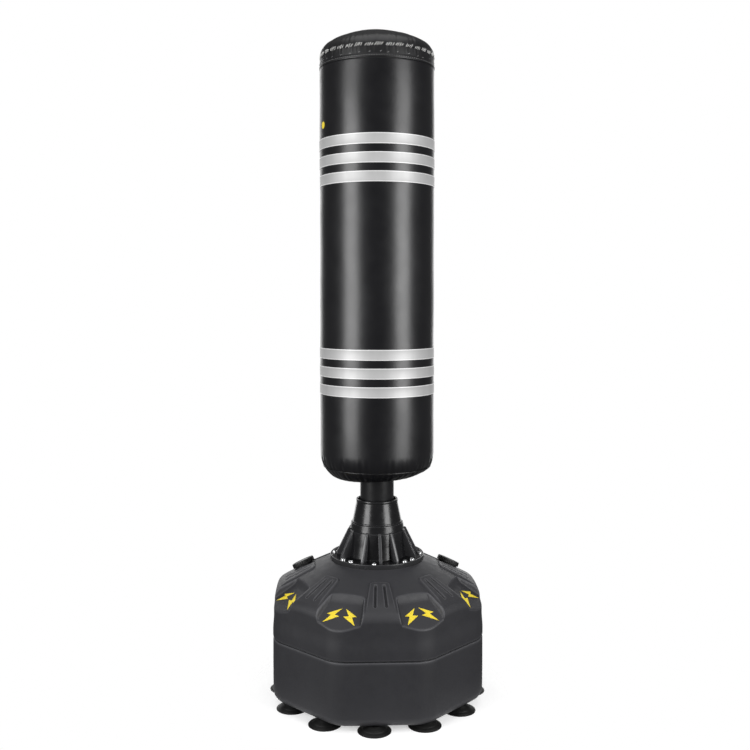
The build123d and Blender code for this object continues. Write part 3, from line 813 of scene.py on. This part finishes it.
def make_screws(looks):
    points, faces = screw_head()
    shank_r, shank_end = 3, 345
    shank = [(0, shank_end), (shank_r, shank_end), (shank_r, DISC_TOP), (0, DISC_TOP)]
    shank_points, shank_faces = revolved_points(np.array(shank), 24)
    heads = []
    for number, phi in enumerate(SCREW_PHI):
        turn = radians(37.0 * number)
        spun = [(x * cos(turn) - y * sin(turn), x * sin(turn) + y * cos(turn), z) for x, y, z in points]
        heads.append((placed(spun, phi, SCREW_CIRCLE_R, DISC_TOP - 0.2), faces))
        heads.append((placed(shank_points, phi, SCREW_CIRCLE_R), shank_faces))
    screws = joined("flange_screw_heads", heads, looks["zinc"])
    put(screws, "base", "zinc_steel", "flange_screws")


def make_post(looks):
    (_, _, low), (radius, _, high) = span("post_tube")
    inner = radius - 3.0
    outline = rounded([(inner, low, 0), (radius, low, 0.3), (radius, high, 0.5), (inner, high, 0)])
    post = turned_shape("post_sleeve", outline, looks["post"], columns=160)
    put(post, "post", "post_paint", "post_tube")


# Each coil's own radius, its wire's radius and its turns between the closed ends.
SPRING = {"circle": 41.0, "r": 9.2, "wire": 1.8, "turns": 6.0, "z": (365.6, 436.6)}
SPRING_PHI = {"front": 0, "right": 90, "back": 180, "left": 270}


def make_springs(looks):
    """The four compression springs, with closed ends."""
    low, high = SPRING["z"]
    steps, sides = 260, 12
    t = np.linspace(0, 1, steps)
    turn = t * 2 * pi * (SPRING["turns"] + 1.5)
    rise = smooth_step(0.0, 1.0, t) * 0.35 + t * 0.65
    outward = np.stack([np.cos(turn), np.sin(turn), np.zeros(steps)], 1)
    upward = np.array([0, 0, 1.0])
    centre = SPRING["r"] * outward + (low + (high - low) * rise)[:, None] * upward
    ring = np.linspace(0, 2 * pi, sides, endpoint=False)
    rows = [centre + SPRING["wire"] * (cos(a) * outward + sin(a) * upward) for a in ring]
    tube = np.stack(rows, 1).reshape(-1, 3)
    faces = capped_faces(steps, sides)
    for side, phi in SPRING_PHI.items():
        coil = placed(tube, phi, SPRING["circle"])
        spring = joined(f"spring_{side}_coil", [(coil, faces)], looks["spring"])
        put(spring, "base", "spring_steel", f"spring_{side}")
        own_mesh(spring)


# ---- bag ----

BAG_WAVES = [
    (CHANCE.integers(1, 5), CHANCE.uniform(0.5, 5), CHANCE.uniform(0, 2 * pi)) for _ in range(14)
]
# Gathers round a whole seam and the seed of their unevenness.
BOTTOM_PLEATS = (46, 3)


def leather_waves(r, z, phi):
    """Faint unevenness of a cover stretched over foam, the same for all that lies on it."""
    soft = sum(np.sin(around * phi + along * z / 140.0 + start) for around, along, start in BAG_WAVES)
    return r + 0.45 * soft / sqrt(len(BAG_WAVES))


def side_ripple(r, z, phi):
    """The side's unevenness, with pleats where it is drawn in at the bottom."""
    low = SIDE_BOTTOM
    fade = 1 - smooth_step(low, low + 42, z)
    pleats = pleat_wave(phi, *BOTTOM_PLEATS)
    return leather_waves(r, z, phi) + (0.9 * fade * pleats - 0.3 * fade) * (r > 100), z


def pleat_wave(phi, count, seed):
    """Uneven gathers round a seam: narrow folds of different depth."""
    chance = np.random.default_rng(seed)
    total = np.zeros(np.shape(phi))
    for harmonic, share in ((1.0, 0.6), (1.37, 0.5), (0.61, 0.45)):
        whole = round(count * harmonic)
        start, drift = chance.uniform(0, 6), chance.uniform(0, 6)
        total = total + share * np.sin(whole * phi + start + 0.9 * np.sin(5 * phi + drift))
    return total


def cloth(name, outline, look, columns, ripple, angle=60):
    """A sewn panel from its outer and inner (r, z) points."""
    return turned_shape(name, np.array(outline), look, columns, ripple, angle)


def make_side(looks):
    """The side panel, which bends in over the foam at its lower end."""
    low, high = SIDE_BOTTOM, HEM_Z - 0.1
    thick = 1.6
    bend = [(BAG_R - 9.2, low), (BAG_R - 6.9, low + 4), (BAG_R - 4.8, low + 9), (BAG_R - 2.8, low + 15.5)]
    bend += [(BAG_R - 1.2, low + 23.5), (BAG_R - 0.3, low + 31), (BAG_R, low + 38)]
    straight = [(BAG_R, z) for z in np.linspace(low + 44, high - 4, 150)]
    hem = [(BAG_R, high - 2), (BAG_R - 0.3, high - 0.6), (BAG_R - 1.0, high)]
    outer = bend + straight + hem
    inner = [(r - thick, z) for r, z in outer[::-1][::6]] + [(outer[0][0] - thick, low + 0.3)]
    side = cloth("bag_side", outer + inner, looks["leather"], 360, side_ripple)
    put(side, "bag", "bag_leather", "cover_side_panel")


def bottom_ripple(r, z, phi):
    """Pleats that fan in from the bottom seam, and a hollow drawn in deeper on the right."""
    share = smooth_step(88, 138, r)
    pleats = pleat_wave(phi, *BOTTOM_PLEATS)
    drawn_in = smooth_step(141, 118, r) * smooth_step(52, 80, r) * (4.0 + 5.0 * np.sin(phi))
    return r - 0.2 * share, z - 1.1 * share * pleats + drawn_in


def make_bottom(looks):
    """The bottom panel, and the binding round its hole for the post."""
    low, seam = BAG_BOTTOM, SIDE_BOTTOM
    hole = 45.5
    outer = [(hole, low + 1.0), (hole + 1.2, low + 0.2), (60, low + 0.9), (76, low + 2.2)]
    outer += [(92, low + 4.0), (104, low + 6.0), (112, low + 8.8), (119, low + 13.0)]
    outer += [(125.5, low + 18.5), (131, low + 24), (136, low + 30), (140.6, seam - 0.4)]
    inner = [(r - 0.9, z + 1.2) for r, z in outer[:0:-1]] + [(hole, low + 2.4)]
    bottom = cloth("bag_bottom", outer + inner, looks["leather"], 360, bottom_ripple)
    put(bottom, "bag", "bag_leather", "cover_bottom_panel")
    rim = [(hole - 0.2, low + 0.4, 0.8), (hole + 3.0, low - 0.6, 0.8)]
    rim += [(hole + 4.0, low + 0.6, 0.8), (hole + 0.4, low + 3.4, 0.8)]
    binding = turned_shape("bottom_binding", rounded(rim), looks["crown"], columns=160)
    put(binding, "bag", "bag_leather")


def make_bottom_seam(looks):
    """A thin welt where the bottom is sewn to the side."""
    turn = np.linspace(0, 2 * pi, 10, endpoint=False)
    outline = np.stack([BAG_R - 9.0 + 1.5 * np.cos(turn), SIDE_BOTTOM + 1.5 * np.sin(turn)], 1)
    welt = turned_shape("bottom_welt", outline, looks["crown"], columns=240, ripple=welt_ripple)
    put(welt, "bag", "bag_leather")


def welt_ripple(r, z, phi):
    return r + 0.25 * pleat_wave(phi, *BOTTOM_PLEATS), z + 0.3 * pleat_wave(phi, 30, 5)


def band_ripple(r, z, phi):
    """Short upright gathers under the lacing, which fade towards the hem."""
    low, high = HEM_Z, LACE_Z
    share = smooth_step(low + 3, high - 4, z)
    folds = pleat_wave(phi + 0.004 * np.sin(z / 3.0), 72, 9)
    return leather_waves(r, z, phi) + 0.38 * share * folds - 0.5 * share, z


def make_band(looks):
    """The gathered band under the lacing, with a doubled hem over the side."""
    low, high = HEM_Z, LACE_Z
    proud = 0.7
    face = BAG_R + proud
    outer = [(BAG_R - 0.9, low + 0.4), (BAG_R + 0.2, low + 0.1), (face, low + 0.7), (face, low + 2.0)]
    outer += [(face, low + 6.0), (face - 0.3, low + 7.2), (BAG_R, low + 8.2)]
    rise = high - low - 9.0
    outer += [(BAG_R - 0.1 - 0.9 * t * t, low + 8.2 + rise * t) for t in np.linspace(0.1, 1, 9)]
    outer += [(BAG_R - 2.0, high - 0.2)]
    inner = [(r - 1.6, z) for r, z in outer[::-1][::3]]
    band = cloth("bag_band", outer + inner, looks["crown"], 720, band_ripple)
    put(band, "bag", "bag_leather", "cover_top_band")


def crown_outline():
    """(r, z) from the lacing up over the shoulder to the middle of the crown."""
    bend_z, bend_r, bend_end, dome_r = BAND_TOP - 8.0, 38.3, 58.0, 263.2
    first = degrees(atan((LACE_Z - bend_z) / bend_r))
    turn = [radians(a) for a in np.linspace(first, bend_end, 16)]
    shoulder = [(BAG_R - bend_r + bend_r * cos(a), bend_z + bend_r * sin(a)) for a in turn]
    across = np.linspace(shoulder[-1][0], 0, 34)[1:]
    dome = [(r, BAG_TOP - dome_r + sqrt(dome_r**2 - r * r)) for r in across]
    return shoulder + dome


def crown_ripple(r, z, phi):
    """Radial gathers that run up from the lacing and die out on the crown."""
    share = smooth_step(96, 146, r)
    folds = pleat_wave(phi, 58, 21)
    long_folds = pleat_wave(phi, 26, 22) * smooth_step(62, 130, r)
    soft = waves(phi, r / 55.0, 8, 0.5, 4) * smooth_step(0, 60, r)
    return r, z + 0.6 * share * folds + 0.6 * long_folds + 0.5 * soft - 0.4 * share


def make_crown(looks):
    outer = crown_outline()
    inner = [(max(r - 0.6, 0), z - 1.6) for r, z in outer[::-1][::3]]
    inner += [(outer[0][0] - 1.6, outer[0][1] + 0.2)]
    crown = cloth("bag_crown", outer + inner, looks["crown"], 720, crown_ripple, angle=70)
    put(crown, "bag", "bag_leather", "cover_top_panel")


LACE = {"groups": 36, "strokes": 4, "step": 1.95, "length": 10.5, "thread": 0.62, "slant": 34.0}
TICK = {"length": 5.5, "thread": 0.55, "slant": 62.0, "below": 19.0}
HEM_STITCH = {"count": 150, "length": 4.2, "thread": 0.4}


def stroke(length, radius):
    """A short bowed thread across a seam: it dips in at both ends. Made along +X, standing on Z."""
    sides, steps = 8, 9
    points = []
    for t in np.linspace(-1, 1, steps):
        size = radius * sqrt(max(1 - t**6, 0.12))
        lift = 0.5 * radius - 1.1 * radius * t**4
        for n in range(sides):
            a = 2 * pi * n / sides
            points.append((lift + size * cos(a), size * sin(a), 0.5 * length * t))
    return points, capped_faces(steps, sides)


def slanted(points, slant):
    c, s = cos(radians(slant)), sin(radians(slant))
    return [(x, y * c + z * s, z * c - y * s) for x, y, z in points]


def make_lacing(looks):
    """The lacing round the crown: groups of slanting strokes, and a tick below each group."""
    strokes, ticks = [], []
    count = LACE["strokes"]
    for group in range(LACE["groups"]):
        middle = 360.0 / LACE["groups"] * group + CHANCE.uniform(-0.5, 0.5)
        rise = CHANCE.uniform(-1.2, 1.2)
        for n in range(count):
            phi = middle + LACE["step"] * (n - 0.5 * (count - 1)) + CHANCE.uniform(-0.35, 0.35)
            length = LACE["length"] * CHANCE.uniform(0.7, 1.15)
            points, faces = stroke(length, LACE["thread"] * CHANCE.uniform(0.85, 1.1))
            points = slanted(points, LACE["slant"] + CHANCE.uniform(-10, 10))
            strokes.append((placed(points, phi, BAG_R - 0.1, LACE_Z + rise), faces))
        points, faces = stroke(TICK["length"] * CHANCE.uniform(0.7, 1.2), TICK["thread"])
        points = slanted(points, TICK["slant"] + CHANCE.uniform(-12, 12))
        low = LACE_Z - TICK["below"] + CHANCE.uniform(-2, 2)
        ticks.append((placed(points, middle + CHANCE.uniform(-2, 2), BAG_R + 0.1, low), faces))
    lace = joined("lacing_thread", strokes, looks["thread"])
    put(lace, "bag", "lacing_thread", "lacing_stitches")
    put(joined("band_ticks", ticks, looks["tick"]), "bag", "lacing_thread")


def make_hem_stitches(looks):
    """Short dark-grey stitches along the band's hem."""
    points, faces = stroke(HEM_STITCH["length"], HEM_STITCH["thread"])
    points = slanted(points, 90)
    step = 360.0 / HEM_STITCH["count"]
    places = [step * n for n in range(HEM_STITCH["count"])]
    pieces = [(placed(points, phi, BAG_R + 0.75, HEM_Z + 4.6), faces) for phi in places]
    put(joined("hem_stitches", pieces, looks["tick"]), "bag", "lacing_thread")


def make_stripes(looks):
    """The six bands of silver vinyl, with rounded and slightly thicker edges."""
    for group in ("lower", "upper"):
        for number in range(1, 4):
            node = f"stripe_{group}_{number}"
            (_, _, low), (_, _, high) = span(node)
            back, rim, proud, face = BAG_R - 0.9, BAG_R + 0.35, BAG_R + 0.6, BAG_R + 0.42
            outline = [(back, low), (rim, low), (proud, low + 0.4), (proud, low + 1.6), (face, low + 2.2)]
            outline += [(face, (low + high) / 2), (face, high - 2.2), (proud, high - 1.6)]
            outline += [(proud, high - 0.4), (rim, high), (back, high)]
            band = cloth(f"{node}_vinyl", outline, looks["stripe"], 360, stripe_ripple, angle=50)
            put(band, "bag", "stripe_vinyl", node)


def stripe_ripple(r, z, phi):
    """A stripe follows the side that it lies on."""
    return leather_waves(r, z, phi) + 0.2, z


def make_dot(looks):
    """The small round yellow disc on the bag's side."""
    low, high = span("side_dot")
    z, radius = (low[2] + high[2]) / 2, (high[2] - low[2]) / 2
    phi = degrees(atan2((low[0] + high[0]) / 2, -(low[1] + high[1]) / 2))
    shape = [(0, -1, 0), (radius, -1, 0), (radius, 0.9, 0.5), (radius - 1.6, 1.1, 0.4)]
    shape += [(radius - 2.2, 0.7, 0.3), (0, 0.8, 0)]
    points, faces = revolved_points(rounded(shape), 64)
    bent = [(out - (y * y) / (2 * BAG_R), y, -x) for x, y, out in points]
    dot = joined("side_badge", [(placed(bent, phi, BAG_R, z), faces)], looks["yellow"])
    put(dot, "bag", "mark_yellow", "side_dot")


# Each block's node, finish, gap to its neighbours and bore.
FOAM = (
    ("inner_foam", "firm_foam", 0.2, 49.0), ("outer_foam", "soft_foam", 2.2, 100.6),
    ("top_foam", "firm_foam", 0.2, 0.0), ("crown_foam", "soft_foam", 2.2, 0.0),
)


def make_foam(looks):
    """The filling: a firm core tube, a softer layer round it, and the blocks above the post."""
    for node, look, inset, r_in in FOAM:
        low, high = span(node)
        r_out = high[0] - inset
        bottom, top = low[2] + inset + 1.0, high[2] - inset
        if node == "crown_foam":
            dome = [(r, z - 6.0) for r, z in crown_outline() if r < r_out - 2]
            outline = np.array([(0, bottom), (r_out, bottom), (r_out, LACE_Z - 6)] + dome)
        elif node == "outer_foam":
            shape = [(r_in, bottom + 16, 2), (116, bottom + 20, 12), (r_out, bottom + 54, 30)]
            outline = rounded(shape + [(r_out, top, 2), (r_in, top, 2)])
        else:
            bottom += 12.0 if node == "inner_foam" else 0.0
            edge = 2 if r_in else 0
            shape = [(r_in, bottom, edge), (r_out, bottom, 3), (r_out, top, 3), (r_in, top, edge)]
            outline = rounded(shape)
        block = turned_shape(f"{node}_block", outline, looks[look], columns=96)
        put(block, "bag", look, node)


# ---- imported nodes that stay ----


def paint_nodes(looks):
    """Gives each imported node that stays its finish."""
    finish = {
        "water": ["ballast_water"],
        "bumper": ["neck_gasket", "fill_seal_left", "fill_seal_right"],
        "brass": ["threaded_inserts"],
        "steel": ["spring_seat_plate", "ball_stud", "post_foot_plate"],
        "zinc": ["ball_stud_nut", "socket_bolts"],
        "bush": ["pivot_bush"],
        "nylon": ["ball_socket", "socket_retainer"],
        "sleeve": ["post_end_cap", "core_sleeve"],
    }
    finish["bumper"] += [f"bumper_{side}" for side in SPRING_PHI]
    for look, nodes in finish.items():
        for node in nodes:
            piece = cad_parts[node]
            piece.data.materials.clear()
            piece.data.materials.append(looks[look])
            bevel(piece, 0.4, 2, 50.0)


# ---- studio ----


def blend_shaders(tree, factor, first, second, output):
    blend = add(tree, "ShaderNodeMixShader")
    for number, value in enumerate((factor, first.outputs[0], second.outputs[0])):
        tree.links.new(value, blend.inputs[number])
    tree.links.new(blend.outputs[0], tree.nodes[output].inputs["Surface"])


def make_floor():
    """A white floor that takes the shadow and fades to nothing around it. It is in metres."""
    half = 14.0
    corners = [(-half, -half, 0), (half, -half, 0), (half, half, 0), (-half, half, 0)]
    mesh = mesh_from("floor", corners, [[0, 1, 2, 3]])
    material, tree, shader = start_material("floor", Roughness=0.9)
    constants = {
        "Specular IOR Level": 0.0, "Base Color": (0.9, 0.9, 0.9, 1),
        "Emission Color": (1, 1, 1, 1), "Emission Strength": 0.4,
    }
    for socket, value in constants.items():
        shader.inputs[socket].default_value = value
    where = add(tree, "ShaderNodeTexCoord")
    length = add(tree, "ShaderNodeVectorMath", operation="LENGTH")
    tree.links.new(where.outputs["Object"], length.inputs[0])
    fade = ramp(tree, length.outputs["Value"], [(0.22, 0.1), (0.42, 1.0)])
    fade.node.color_ramp.interpolation = "EASE"
    clear = add(tree, "ShaderNodeBsdfTransparent")
    blend_shaders(tree, fade, shader, clear, "Material Output")
    mesh.materials.append(material)
    in_scene("floor", mesh)


def area_light(name, place, target, size, power):
    """A soft box at place, facing target. size is its width and height in metres."""
    light = bpy.data.lights.new(name, "AREA")
    light.shape = "RECTANGLE"
    light.size, light.size_y = size
    light.energy = power
    lamp = in_scene(name, light)
    lamp.location = place
    lamp.rotation_euler = (Vector(target) - Vector(place)).to_track_quat("-Z", "Y").to_euler()


def make_lights():
    """A pair of strips to the front, a weaker pair behind, and a wide box overhead."""
    pairs = (
        ("strip", 2.3, 51.0, CAMERA["azimuth"], 1.2, 1.15, (1.1, 1.8), 46.0),
        ("rim", 3.0, 158.0, 0.0, 1.3, 1.1, (1.2, 2.8), 20.0),
    )
    for name, reach, spread, middle, height, target, size, power in pairs:
        for side, sign in (("left", -1), ("right", 1)):
            a = radians(middle + sign * spread)
            place = (reach * sin(a), -reach * cos(a), height)
            area_light(f"{name}_{side}", place, (0, 0, target), size, power)
    area_light("overhead", (0, -0.7, 3.6), (0, 0, 0.2), (3.2, 2.4), 38.0)


def make_world():
    """White to the camera, and a dim even fill for everything else."""
    world = bpy.data.worlds.new("studio")
    world.use_nodes = True
    tree = world.node_tree
    back = tree.nodes["Background"]
    back.inputs["Color"].default_value = (1, 1, 1, 1)
    back.inputs["Strength"].default_value = 0.12
    white = add(tree, "ShaderNodeBackground", Color=(1, 1, 1, 1))
    path = add(tree, "ShaderNodeLightPath")
    blend_shaders(tree, path.outputs["Is Camera Ray"], back, white, "World Output")
    bpy.context.scene.world = world


def make_camera():
    camera = bpy.data.cameras.new("camera")
    camera.lens = CAMERA["lens"]
    camera.sensor_width = 36.0
    camera.shift_x, camera.shift_y = CAMERA["shift"]
    eye = in_scene("camera", camera)
    a = radians(CAMERA["azimuth"])
    eye.location = (CAMERA["distance"] * sin(a), -CAMERA["distance"] * cos(a), CAMERA["height"])
    eye.rotation_euler = (radians(90 - CAMERA["pitch"]), 0, a)
    bpy.context.scene.camera = eye


def main():
    looks = make_materials()
    make_camera()
    make_world()
    make_lights()
    make_floor()
    for make in (
        make_tank, make_cups, make_marks, make_neck, make_screws, make_post, make_springs, make_side,
        make_bottom, make_bottom_seam, make_band, make_crown, make_lacing, make_hem_stitches,
        make_stripes, make_dot, make_foam,
    ):
        make(looks)
    paint_nodes(looks)
    bpy.context.scene.view_settings.view_transform = "Standard"


main()
